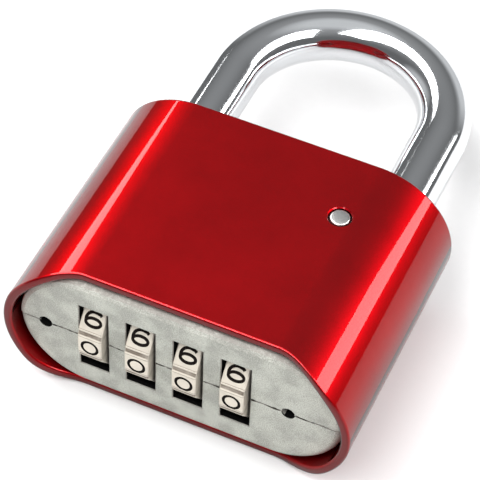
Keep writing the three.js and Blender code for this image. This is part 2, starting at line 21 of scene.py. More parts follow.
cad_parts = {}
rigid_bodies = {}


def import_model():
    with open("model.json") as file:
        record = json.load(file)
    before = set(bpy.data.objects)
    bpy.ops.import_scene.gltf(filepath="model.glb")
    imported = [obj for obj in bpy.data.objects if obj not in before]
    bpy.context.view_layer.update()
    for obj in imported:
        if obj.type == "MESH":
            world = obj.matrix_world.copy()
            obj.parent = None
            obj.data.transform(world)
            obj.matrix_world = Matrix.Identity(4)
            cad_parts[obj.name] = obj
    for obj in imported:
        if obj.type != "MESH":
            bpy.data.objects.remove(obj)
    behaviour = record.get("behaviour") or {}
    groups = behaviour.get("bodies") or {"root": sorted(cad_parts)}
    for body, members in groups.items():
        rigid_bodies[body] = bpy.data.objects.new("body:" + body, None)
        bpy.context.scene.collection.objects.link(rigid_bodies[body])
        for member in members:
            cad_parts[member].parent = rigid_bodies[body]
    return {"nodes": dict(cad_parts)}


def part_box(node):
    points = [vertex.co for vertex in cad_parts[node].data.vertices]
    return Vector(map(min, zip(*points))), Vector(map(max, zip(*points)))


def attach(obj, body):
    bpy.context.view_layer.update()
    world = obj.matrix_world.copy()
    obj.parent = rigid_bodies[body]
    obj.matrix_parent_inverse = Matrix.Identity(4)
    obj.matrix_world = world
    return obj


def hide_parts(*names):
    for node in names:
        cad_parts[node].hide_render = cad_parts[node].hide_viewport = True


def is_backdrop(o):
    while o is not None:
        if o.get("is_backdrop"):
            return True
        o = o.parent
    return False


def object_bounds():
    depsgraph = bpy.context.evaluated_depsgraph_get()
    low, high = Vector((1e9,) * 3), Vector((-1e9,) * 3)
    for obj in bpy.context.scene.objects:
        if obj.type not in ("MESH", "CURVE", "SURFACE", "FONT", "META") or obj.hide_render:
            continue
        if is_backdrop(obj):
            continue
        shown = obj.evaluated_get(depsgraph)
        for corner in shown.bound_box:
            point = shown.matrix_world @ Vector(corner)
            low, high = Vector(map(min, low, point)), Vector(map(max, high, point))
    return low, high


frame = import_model()
CAD_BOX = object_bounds()

MM = 0.001
LOG = logging.getLogger("padlock")
Point = tuple[float, float]
Colour = tuple[float, float, float]


# ---------------------------------------------------------------- node trees


class Graph:
    """A node tree being wired up, with a short call for each kind of node used here."""

    def __init__(self, tree: bpy.types.NodeTree) -> None:
        """Takes the tree to wire.

        Args:
            tree: A shader or geometry node tree.
        """
        self.tree = tree

    def feed(self, socket: bpy.types.NodeSocket, value: Any) -> None:
        """Links a socket to an output, or sets its own value.

        Args:
            socket: The input to feed.
            value: Another node's output, or a plain value.
        """
        if isinstance(value, bpy.types.NodeSocket):
            self.tree.links.new(value, socket)
        else:
            socket.default_value = value

    def node(self, kind: str, inputs: dict | None = None, **settings: Any) -> bpy.types.Node:
        """Adds one node.

        Args:
            kind: The node's type name.
            inputs: Values or outputs for its inputs, by name or number.
            settings: Its other settings.

        Returns:
            The node.
        """
        made = self.tree.nodes.new(kind)
        for name, value in settings.items():
            setattr(made, name, value)
        for name, value in (inputs or {}).items():
            self.feed(made.inputs[name], value)
        return made

    def math(self, operation: str, *values: Any) -> bpy.types.NodeSocket:
        """Adds a Math node over one to three values and returns its result."""
        return self.node("ShaderNodeMath", dict(enumerate(values)), operation=operation).outputs[0]

    def spread(self, value: Any, low: Point, high: Point) -> bpy.types.NodeSocket:
        """Maps a value from one range to another, clamped.

        Args:
            value: The value to map.
            low: Where the range starts, as a value and its result.
            high: Where the range ends, as a value and its result.

        Returns:
            The mapped value.
        """
        inputs = {"Value": value, "From Min": low[0], "From Max": high[0],
                  "To Min": low[1], "To Max": high[1]}
        return self.node("ShaderNodeMapRange", inputs).outputs[0]

    def mix(self, share: Any, first: Any, second: Any, way: str = "MIX") -> bpy.types.NodeSocket:
        """Mixes two colours.

        Args:
            share: How much of the second colour.
            first: The first colour.
            second: The second colour.
            way: The blend's name.

        Returns:
            The mixed colour.
        """
        made = self.node("ShaderNodeMix", {0: share}, data_type="RGBA", blend_type=way)
        for place, colour in ((6, first), (7, second)):
            plain = isinstance(colour, tuple) and len(colour) == 3
            self.feed(made.inputs[place], (*colour, 1.0) if plain else colour)
        return made.outputs[2]

    def grain(self, place: Any, size: float, detail: float = 2.0) -> bpy.types.NodeSocket:
        """Adds noise whose blobs are about the given size.

        Args:
            place: The coordinates that it reads.
            size: How large a blob is.
            detail: How many finer layers it has.

        Returns:
            The noise, from 0 to 1.
        """
        inputs = {"Vector": place, "Scale": 1.0 / size, "Detail": detail}
        return self.node("ShaderNodeTexNoise", inputs).outputs[0]

    def bump(self, height: Any, depth: float, under: Any = None) -> bpy.types.NodeSocket:
        """Turns a height from 0 to 1 into a bumped normal.

        Args:
            height: The height.
            depth: How deep its relief is.
            under: A normal to lay it over.

        Returns:
            The normal.
        """
        inputs = {"Height": height, "Distance": depth, "Strength": 1.0}
        if under is not None:
            inputs["Normal"] = under
        return self.node("ShaderNodeBump", inputs).outputs[0]


class Shape(Graph):
    """A geometry node tree with named inputs, which grows one mesh."""

    def __init__(self, name: str) -> None:
        """Starts an empty tree.

        Args:
            name: The tree's name.
        """
        super().__init__(bpy.data.node_groups.new(name, "GeometryNodeTree"))
        self.values: dict[str, Any] = {}
        self.ends = self.node("NodeGroupInput")
        self.tree.interface.new_socket("Mesh", in_out="OUTPUT", socket_type="NodeSocketGeometry")

    def given(self, name: str, value: Any, kind: str = "Float") -> bpy.types.NodeSocket:
        """Adds a named input and the value it gets.

        Args:
            name: The input's name.
            value: Its value.
            kind: Its socket's kind, such as Float, Int or Collection.

        Returns:
            The input, for wiring.
        """
        item = self.tree.interface.new_socket(name, in_out="INPUT", socket_type=f"NodeSocket{kind}")
        self.values[item.identifier] = value
        return self.ends.outputs[name]

    def vector(self, x: Any = 0.0, y: Any = 0.0, z: Any = 0.0) -> bpy.types.NodeSocket:
        """Joins three numbers into a vector."""
        return self.node("ShaderNodeCombineXYZ", {"X": x, "Y": y, "Z": z}).outputs[0]

    def sweep(self, path: Any, profile: Any, scale: Any = 1.0) -> bpy.types.NodeSocket:
        """Carries a closed profile along a path.

        Args:
            path: The curve to follow.
            profile: The section, drawn in its own XY plane.
            scale: The section's size along the path.

        Returns:
            The mesh.
        """
        inputs = {"Curve": path, "Profile Curve": profile, "Scale": scale, "Fill Caps": True}
        return self.node("GeometryNodeCurveToMesh", inputs).outputs[0]

    def grow(self, name: str, mesh: Any, material: bpy.types.Material) -> bpy.types.Object:
        """Ends the tree and turns its result into a plain mesh object.

        Args:
            name: The object's name.
            mesh: The last node's geometry.
            material: What the mesh is made of.

        Returns:
            The object, with no modifier left on it.
        """
        stuff = self.given("Material", material, "Material")
        real = self.node("GeometryNodeRealizeInstances", {0: mesh}).outputs[0]
        dressed = self.node("GeometryNodeSetMaterial", {"Geometry": real, "Material": stuff})
        self.node("NodeGroupOutput", {0: dressed.outputs[0]})
        piece = link(name, bpy.data.meshes.new(name))
        modifier = piece.modifiers.new("shape", "NODES")
        modifier.node_group = self.tree
        for identifier, value in self.values.items():
            modifier[identifier] = value
        return baked(piece)


# ---------------------------------------------------------------- mesh work


def link(name: str, mesh: bpy.types.Mesh) -> bpy.types.Object:
    """Puts a mesh into the scene as an object."""
    piece = bpy.data.objects.new(name, mesh)
    bpy.context.scene.collection.objects.link(piece)
    return piece


def baked(piece: bpy.types.Object) -> bpy.types.Object:
    """Replaces an object's mesh by what its modifiers make of it, and removes them."""
    made = piece.evaluated_get(bpy.context.evaluated_depsgraph_get())
    mesh = bpy.data.meshes.new_from_object(made)
    mesh.name = piece.name
    piece.modifiers.clear()
    piece.data = mesh
    return piece


def from_faces(
    name: str,
    points: Iterable[Sequence[float]],
    faces: Iterable[Sequence[int]],
    material: bpy.types.Material,
) -> bpy.types.Object:
    """Makes a closed object from points and faces, with its faces looking outwards.

    Args:
        name: The object's name.
        points: Its corners.
        faces: The corners of each face.
        material: What it is made of.

    Returns:
        The object.
    """
    mesh = bpy.data.meshes.new(name)
    mesh.from_pydata([tuple(point) for point in points], [], [tuple(face) for face in faces])
    mesh.materials.append(material)
    work = bmesh.new()
    work.from_mesh(mesh)
    bmesh.ops.recalc_face_normals(work, faces=work.faces)
    work.to_mesh(mesh)
    work.free()
    return link(name, mesh)


def lofted(
    name: str, rings: Sequence[Sequence[Vector]], material: bpy.types.Material, closed: bool = False
) -> bpy.types.Object:
    """Skins a row of rings that have the same number of points.

    Args:
        name: The object's name.
        rings: The rings in order.
        material: What it is made of.
        closed: Whether the last ring joins the first, as in a tube with a wall.

    Returns:
        The object.
    """
    count = len(rings[0])
    spans = len(rings) if closed else len(rings) - 1
    faces: list[list[int]] = []
    for span in range(spans):
        low, high = span * count, (span + 1) % len(rings) * count
        for place in range(count):
            after = (place + 1) % count
            faces.append([low + place, low + after, high + after, high + place])
    if not closed:
        faces.append(list(range(count)))
        faces.append([(len(rings) - 1) * count + place for place in range(count)])
    return from_faces(name, [point for ring in rings for point in ring], faces, material)


def block(name: str, low: Vector, high: Vector, material: bpy.types.Material) -> bpy.types.Object:
    """Makes a box between two corners."""
    rings = [
        [Vector((x, y, z)) for x, y in
         ((low.x, low.y), (high.x, low.y), (high.x, high.y), (low.x, high.y))]
        for z in (low.z, high.z)
    ]
    return lofted(name, rings, material)


def turned(
    name: str,
    profile: Sequence[Point],
    base: Matrix,
    material: bpy.types.Material,
    sides: int = 64,
    hollow: bool = False,
) -> bpy.types.Object:
    """Turns a profile about the Z axis and puts it in place.

    Args:
        name: The object's name.
        profile: Radius and height along the profile.
        base: Where the turned piece's own origin and axes go.
        material: What it is made of.
        sides: How many sides stand for round.
        hollow: Whether the profile closes on itself, as in a ring.

    Returns:
        The object.
    """
    rings = [
        [base @ Vector((radius * math.cos(angle), radius * math.sin(angle), height))
         for angle in (math.tau * side / sides for side in range(sides))]
        for radius, height in profile
    ]
    return lofted(name, rings, material, closed=hollow)


def along_y(x: float, y: float, z: float) -> Matrix:
    """Gives the place of a turned piece whose axis runs along +Y from a point."""
    return Matrix.Translation((x, y, z)) @ Matrix.Rotation(math.radians(-90), 4, "X")


def cut(
    piece: bpy.types.Object, tools: Iterable[bpy.types.Object], way: str = "DIFFERENCE"
) -> bpy.types.Object:
    """Cuts a piece with one tool after another. A cut face takes its tool's finish.

    Args:
        piece: The piece to cut.
        tools: The cutting solids, which are used up.
        way: DIFFERENCE or INTERSECT.

    Returns:
        The piece.
    """
    spent = list(tools)
    for tool in spent:
        modifier = piece.modifiers.new("cut", "BOOLEAN")
        modifier.operation = way
        modifier.solver = "EXACT"
        modifier.use_self = True
        modifier.material_mode = "TRANSFER"
        modifier.object = tool
    baked(piece)
    for tool in spent:
        bpy.data.objects.remove(tool)
    return piece


def shaded(piece: bpy.types.Object, crease: float = 32.0) -> bpy.types.Object:
    """Smooths a piece's shading, keeps its creases, and lets flat faces stay flat.

    Args:
        piece: The piece.
        crease: Degrees past which an edge stays sharp.

    Returns:
        The piece.
    """
    work = bmesh.new()
    work.from_mesh(piece.data)
    bmesh.ops.remove_doubles(work, verts=work.verts, dist=1e-7)
    bmesh.ops.dissolve_degenerate(work, dist=1e-7, edges=work.edges)
    work.to_mesh(piece.data)
    work.free()
    piece.data.shade_smooth()
    piece.data.set_sharp_from_angle(angle=math.radians(crease))
    modifier = piece.modifiers.new("flat faces", "WEIGHTED_NORMAL")
    modifier.keep_sharp = True
    return baked(piece)


def copied(node: str, name: str, material: bpy.types.Material) -> bpy.types.Object:
    """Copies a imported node's solid as one welded mesh that can be worked on.

    Args:
        node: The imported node.
        name: The copy's name.
        material: What it is made of.

    Returns:
        The copy.
    """
    mesh = frame["nodes"][node].data.copy()
    mesh.materials.clear()
    mesh.materials.append(material)
    work = bmesh.new()
    work.from_mesh(mesh)
    bmesh.ops.remove_doubles(work, verts=work.verts, dist=1e-6)
    bmesh.ops.dissolve_limit(work, angle_limit=math.radians(0.2), verts=work.verts, edges=work.edges)
    for face in work.faces:
        face.material_index = 0
    work.to_mesh(mesh)
    work.free()
    return link(name, mesh)


def softened(
    node: str, name: str, material: bpy.types.Material, edge: float = 0.08 * MM
) -> bpy.types.Object:
    """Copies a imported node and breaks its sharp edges, as a deburred part has them.

    Args:
        node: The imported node.
        name: The new piece's name.
        material: What it is made of.
        edge: How wide a broken edge is.

    Returns:
        The piece.
    """
    piece = copied(node, name, material)
    modifier = piece.modifiers.new("broken edges", "BEVEL")
    modifier.limit_method = "ANGLE"
    modifier.angle_limit = math.radians(35)
    modifier.width = edge
    modifier.segments = 2
    modifier.use_clamp_overlap = True
    return shaded(baked(piece))


def fitted(piece: bpy.types.Object, body: str, slot: str, *nodes: str) -> bpy.types.Object:
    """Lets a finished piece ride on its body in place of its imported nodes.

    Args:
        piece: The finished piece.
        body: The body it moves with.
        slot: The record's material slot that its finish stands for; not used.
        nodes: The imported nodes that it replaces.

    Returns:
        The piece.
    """
    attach(piece, body)
    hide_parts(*nodes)
    LOG.info("%s rides on %s with %d faces", piece.name, body, len(piece.data.polygons))
    return piece


# ---------------------------------------------------------------- finishes


@dataclass(frozen=True)
class Finish:
    """A surface: its colour, its gloss, and the fine relief that every finish has."""

    name: str
    colour: Colour
    roughness: float
    metallic: float = 1.0
    relief: float = 0.0004 * MM
    grain: float = 0.25 * MM
    unevenness: float = 0.12
    sheen: float = 0.5

    def material(self) -> bpy.types.Material:
        """Builds the finish's material once and gives it again when it is asked for."""
        made = bpy.data.materials.get(self.name)
        if made is None:
            made = bpy.data.materials.new(self.name)
            made.use_nodes = True
            made.diffuse_color = (*self.colour, 1.0)
            graph = Graph(made.node_tree)
            shader = next(n for n in made.node_tree.nodes if n.type == "BSDF_PRINCIPLED")
            place = graph.node("ShaderNodeTexCoord").outputs["Object"]
            shader.inputs["Metallic"].default_value = self.metallic
            shader.inputs["Specular IOR Level"].default_value = self.sheen
            self.dress(graph, shader, place)
        return made

    def dress(self, graph: Graph, shader: bpy.types.Node, place: bpy.types.NodeSocket) -> None:
        """Wires colour, gloss and relief into the shader.

        Args:
            graph: The material's tree.
            shader: Its surface shader.
            place: The coordinates of the piece.
        """
        patches = graph.grain(place, self.grain * 16, 3.0)
        fine = graph.grain(place, self.grain, 4.0)
        dull = tuple(channel * (1 - self.unevenness) for channel in self.colour)
        graph.feed(shader.inputs["Base Color"], graph.mix(patches, dull, self.colour))
        gloss = graph.spread(fine, (0.3, self.roughness * 0.8), (0.7, self.roughness * 1.25))
        graph.feed(shader.inputs["Roughness"], gloss)
        graph.feed(shader.inputs["Normal"], graph.bump(fine, self.relief))


@dataclass(frozen=True)
class CandyLacquer(Finish):
    """Clear red lacquer over satin metal: deep colour below a glossy, faintly rippled coat, and painted
    shade on faces that look down -Y.
    """

    ripple: float = 0.9 * MM
    ripple_depth: float = 0.0003 * MM
    bright: Colour = (0.39, 0.0015, 0.004)
    # The deep colour is painted shade, laid on faces that look down -Y.
    deep: Colour = (0.13, 0.0008, 0.003)
    edge: Colour = (0.0, 0.0, 0.0)

    def dress(self, graph: Graph, shader: bpy.types.Node, place: bpy.types.NodeSocket) -> None:
        """Wires the metal below and the coat above it.

        Args:
            graph: The material's tree.
            shader: Its surface shader.
            place: The coordinates of the piece.
        """
        clouds = graph.grain(place, 9 * MM, 3.0)
        flake = graph.grain(place, self.grain, 2.0)
        tone = graph.spread(clouds, (0.3, 0.0), (0.7, 1.0))
        colour = graph.mix(tone, self.colour, self.bright)
        # Faces looking down -Y, the rim's end face most, are mixed towards the deep colour: painted shade.
        facing = graph.node("ShaderNodeSeparateXYZ",
                            {0: graph.node("ShaderNodeNewGeometry").outputs["Normal"]}).outputs[1]
        painted_rim_shade = graph.spread(facing, (-0.95, 1.0), (-0.35, 0.0))
        graph.feed(shader.inputs["Base Color"], graph.mix(painted_rim_shade, colour, self.deep))
        gloss = graph.spread(flake, (0.3, self.roughness * 0.85), (0.7, self.roughness * 1.15))
        graph.feed(shader.inputs["Roughness"], gloss)
        graph.feed(shader.inputs["Normal"], graph.bump(flake, self.relief))
        shader.inputs["Specular Tint"].default_value = (*self.edge, 1.0)
        shader.inputs["Coat Weight"].default_value = 1.0
        shader.inputs["Coat Roughness"].default_value = 0.03
        shader.inputs["Coat IOR"].default_value = 1.3
        peel = graph.grain(place, self.ripple, 1.0)
        graph.feed(shader.inputs["Coat Normal"], graph.bump(peel, self.ripple_depth))


@dataclass(frozen=True)
class CastMetal(Finish):
    """Die-cast zinc: pale grey with a sugary grain, pores, flow marks, a worn seam and painted shade on its
    rounded edges.
    """

    pore: Colour = (0.2, 0.2, 0.19)
    # The edge shade colour is painted shade, mottled, on faces that do not look down -Y.
    edge_shade: Colour = (0.2, 0.18, 0.165)
    seam: float = 11.6 * MM
    seam_reach: float = 1.3 * MM

    def dress(self, graph: Graph, shader: bpy.types.Node, place: bpy.types.NodeSocket) -> None:
        """Wires the grain, the pores, the flow marks and the painted shade on the edges.

        Args:
            graph: The material's tree.
            shader: Its surface shader.
            place: The coordinates of the piece.
        """
        cloud = graph.grain(place, 3.2 * MM, 5.0)
        sugar = graph.grain(place, self.grain, 3.0)
        height = graph.node("ShaderNodeSeparateXYZ", {0: place}).outputs[2]
        off = graph.math("ABSOLUTE", graph.math("SUBTRACT", height, self.seam))
        near = graph.spread(off, (0.1 * MM, 1.0), (self.seam_reach, 0.0))
        torn = graph.spread(graph.grain(place, 0.45 * MM, 3.0), (0.56, 0.0), (0.66, 0.55))
        chipped = graph.math("MULTIPLY", near, torn)
        # Faces that do not look down -Y, the rounded edges most, darken in mottled patches: painted shade
        # that dulls their highlight.
        facing = graph.node("ShaderNodeSeparateXYZ",
                            {0: graph.node("ShaderNodeNewGeometry").outputs["True Normal"]}).outputs[1]
        painted_edge_shade = graph.math("MULTIPLY", graph.spread(facing, (-0.995, 0.0), (-0.8, 0.75)),
                            graph.spread(graph.grain(place, 0.5 * MM, 4.0), (0.35, 0.5), (0.6, 1.0)))
        cells = graph.node("ShaderNodeTexVoronoi", {"Vector": place, "Scale": 1 / (0.55 * MM)})
        pores = graph.spread(cells.outputs["Distance"], (0.05, 1.0), (0.16, 0.0))
        rare = graph.spread(graph.grain(place, 1.6 * MM, 1.0), (0.52, 0.0), (0.62, 1.0))
        pitted = graph.math("MULTIPLY", pores, rare)
        dull = tuple(channel * (1 - self.unevenness) for channel in self.colour)
        flow = graph.mix(graph.spread(cloud, (0.4, 0.0), (0.6, 1.0)), dull, self.colour)
        speck = graph.spread(sugar, (0.32, 0.62), (0.68, 1.22))
        specks = graph.node("ShaderNodeCombineColor", {0: speck, 1: speck, 2: speck}).outputs[0]
        tone = graph.mix(1.0, flow, specks, "MULTIPLY")
        marked = graph.math("MAXIMUM", pitted, chipped)
        darkened = graph.mix(painted_edge_shade, tone, self.edge_shade)
        graph.feed(shader.inputs["Base Color"], graph.mix(marked, darkened, self.pore))
        gloss = graph.spread(sugar, (0.3, self.roughness * 0.8), (0.7, self.roughness * 1.2))
        graph.feed(shader.inputs["Roughness"], gloss)
        lie = graph.math("SUBTRACT", sugar, graph.math("MULTIPLY", marked, 0.8))
        graph.feed(shader.inputs["Normal"], graph.bump(lie, self.relief))


@dataclass(frozen=True)
class WheelPlate(Finish):
    """Satin plating on the number wheels, brushed across, darker, rougher and less metallic in the grooves.
    """

    groove_colour: Colour = (0.1, 0.078, 0.058)

    def dress(self, graph: Graph, shader: bpy.types.Node, place: bpy.types.NodeSocket) -> None:
        """Wires the brushing along X and the darkening below the flats.

        Args:
            graph: The material's tree.
            shader: Its surface shader.
            place: The coordinates of the piece.
        """
        stretch = graph.node("ShaderNodeMapping", {"Vector": place, "Scale": (0.12, 1.0, 1.0)})
        brush = graph.grain(stretch.outputs[0], self.grain * 0.5, 2.0)
        cloud = graph.grain(place, 1.3 * MM, 3.0)
        dull = tuple(channel * (1 - self.unevenness) for channel in self.colour)
        tone = graph.mix(graph.spread(cloud, (0.3, 0.0), (0.7, 1.0)), dull, self.colour)
        # Along the lines and in the grooves, where the hollow attribute is high, the plating turns darker,
        # rougher and less metallic.
        darkened = graph.node("ShaderNodeAttribute", attribute_name="hollow").outputs["Fac"]
        groove_dark = graph.math("MULTIPLY", darkened, graph.spread(cloud, (0.25, 0.6), (0.6, 1.0)))
        graph.feed(shader.inputs["Base Color"], graph.mix(groove_dark, tone, self.groove_colour))
        gloss = graph.spread(brush, (0.3, self.roughness * 0.8), (0.7, self.roughness * 1.3))
        graph.feed(shader.inputs["Roughness"], graph.math("MAXIMUM", gloss, groove_dark))
        undarkened = graph.math("SUBTRACT", 1.0, groove_dark)
        graph.feed(shader.inputs["Metallic"], graph.math("MULTIPLY", undarkened, self.metallic))
        graph.feed(shader.inputs["Normal"], graph.bump(brush, self.relief))


class Finishes(Enum):
    """The lock's finishes."""

    LACQUER = CandyLacquer("candy_lacquer", (0.32, 0.001, 0.003), 0.38, relief=0.0001 * MM, grain=0.12 * MM)
    ZINC = CastMetal("zinc_casting", (0.44, 0.445, 0.4), 0.75, 0.12, 0.006 * MM, 0.14 * MM, 0.24, 0.2)
    GRIME = Finish("seam_grime", (0.055, 0.05, 0.043), 0.85, 0.0, 0.001 * MM, 0.2 * MM, 0.5, 0.1)
    # A black lining painted where the windows, the wheels' pockets and the drains lie in shade: painted
    # shade.
    SHADE = Finish("window_wall", (0.003, 0.003, 0.003), 0.9, 0.0, sheen=0.05)
    CHROME = Finish("bright_chrome", (0.71, 0.725, 0.74), 0.09, 1.0, 0.00003 * MM, 0.5 * MM, 0.03)
    WHEEL = WheelPlate("satin_nickel", (0.6, 0.55, 0.47), 0.4, 0.45, 0.0006 * MM, 0.1 * MM)
    INK = Finish("number_fill", (0.006, 0.004, 0.003), 0.8, 0.0, 0.0006 * MM, 0.08 * MM, sheen=0.1)
    BRASS = Finish("turned_brass", (0.6, 0.42, 0.17), 0.3)
    STEEL = Finish("plated_steel", (0.55, 0.55, 0.54), 0.34, 1.0, 0.0012 * MM, 0.2 * MM)
    SPRING = Finish("spring_wire", (0.4, 0.41, 0.43), 0.25)
    FLOOR = Finish("pale_floor", (0.56, 0.56, 0.56), 0.7, 0.0, 0.001 * MM, 1.5 * MM, 0.01)

    def material(self) -> bpy.types.Material:
        """Gives the finish's material."""
        return self.value.material()


# ---------------------------------------------------------------- sleeve


@dataclass
class Sleeve:
    """The lacquered tube round the casting, with its rim swelling out round both ends."""

    wall: float = 1.3 * MM
    ear_depth: float = 2.3 * MM
    ear_start: float = 13.7 * MM
    ear_full: float = 22.3 * MM
    rim_round: float = 0.4 * MM
    arc_steps: int = 44
    hole_radius: float = 1.62 * MM
    hole_lip: float = 0.16 * MM

    def tube(self) -> bpy.types.Object:
        """Sweeps the wall's section round the body and lets the rim swell at the ends.

        Returns:
            The tube with no pin hole.
        """
        low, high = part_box("shell")
        shape = Shape("sleeve")
        width = shape.given("Width", high.x - low.x)
        thickness = shape.given("Thickness", high.z - low.z)
        length = shape.given("Length", high.y - low.y - self.ear_depth)
        wall = shape.given("Wall", self.wall)
        rim = shape.given("Rim Radius", self.rim_round)
        ear = shape.given("Ear Depth", self.ear_depth)
        start = shape.given("Ear Start", self.ear_start)
        full = shape.given("Ear Full", self.ear_full)
        steps = shape.given("Arc Steps", self.arc_steps, "Int")
        seat = shape.given("Seat", Vector((0, low.y + self.ear_depth, (low.z + high.z) / 2)), "Vector")

        plan = shape.node("GeometryNodeCurvePrimitiveQuadrilateral",
                          {"Width": width, "Height": thickness}).outputs[0]
        half = shape.math("MULTIPLY", thickness, 0.49999)
        round_plan = shape.node("GeometryNodeFilletCurve",
                                {"Curve": plan, "Count": steps, "Radius": half}, mode="POLY")
        path = shape.node("GeometryNodeSetCurveNormal", {"Curve": round_plan.outputs[0]}, mode="Z_UP")
        inside = shape.math("MULTIPLY", wall, -1.0)
        section = shape.node("GeometryNodeCurvePrimitiveQuadrilateral", {
            "Point 1": shape.vector(inside), "Point 2": shape.vector(),
            "Point 3": shape.vector(0.0, length), "Point 4": shape.vector(inside, length),
        }, mode="POINTS")
        soft = shape.node("GeometryNodeFilletCurve",
                          {"Curve": section.outputs[0], "Count": 5, "Radius": rim}, mode="POLY")
        mesh = shape.sweep(path.outputs[0], soft.outputs[0])
        stood = shape.node("GeometryNodeTransform", {
            "Geometry": mesh, "Translation": seat, "Rotation": (math.radians(90), 0.0, 0.0)})

        place = shape.node("ShaderNodeSeparateXYZ",
                           {0: shape.node("GeometryNodeInputPosition").outputs[0]})
        seat_y = shape.node("ShaderNodeSeparateXYZ", {0: seat}).outputs[1]
        middle = shape.math("ADD", seat_y, shape.math("MULTIPLY", length, 0.5))
        at_rim = shape.math("LESS_THAN", place.outputs[1], middle)
        swell = shape.node("ShaderNodeMapRange", {
            "Value": shape.math("ABSOLUTE", place.outputs[0]), "From Min": start, "From Max": full},
            interpolation_type="SMOOTHSTEP").outputs[0]
        drop = shape.math("MULTIPLY", shape.math("MULTIPLY", swell, at_rim),
                          shape.math("MULTIPLY", ear, -1.0))
        eared = shape.node("GeometryNodeSetPosition",
                           {"Geometry": stood.outputs[0], "Offset": shape.vector(0.0, drop)})
        return shape.grow("lacquered_sleeve", eared.outputs[0], Finishes.LACQUER.material())

    def pin_drill(self) -> bpy.types.Object:
        """Makes the drill for the pin's holes, flared where it meets each face."""
        low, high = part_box("retaining_pin")
        depth = high.z - low.z
        outside, lip = 1 * MM, self.hole_lip
        profile = [
            (self.hole_radius + lip, -outside),
            (self.hole_radius + lip, 0.0),
            (self.hole_radius, lip),
            (self.hole_radius, depth - lip),
            (self.hole_radius + lip, depth),
            (self.hole_radius + lip, depth + outside),
        ]
        base = Matrix.Translation(((low.x + high.x) / 2, (low.y + high.y) / 2, low.z))
        return turned("pin_drill", profile, base, Finishes.LACQUER.material())

    def build(self) -> bpy.types.Object:
        """Builds the sleeve and fits it.

        Returns:
            The sleeve.
        """
        tube = cut(self.tube(), [self.pin_drill()])
        return fitted(shaded(tube, 40), "lock_body", "red_lacquer", "shell")


# ---------------------------------------------------------------- casting


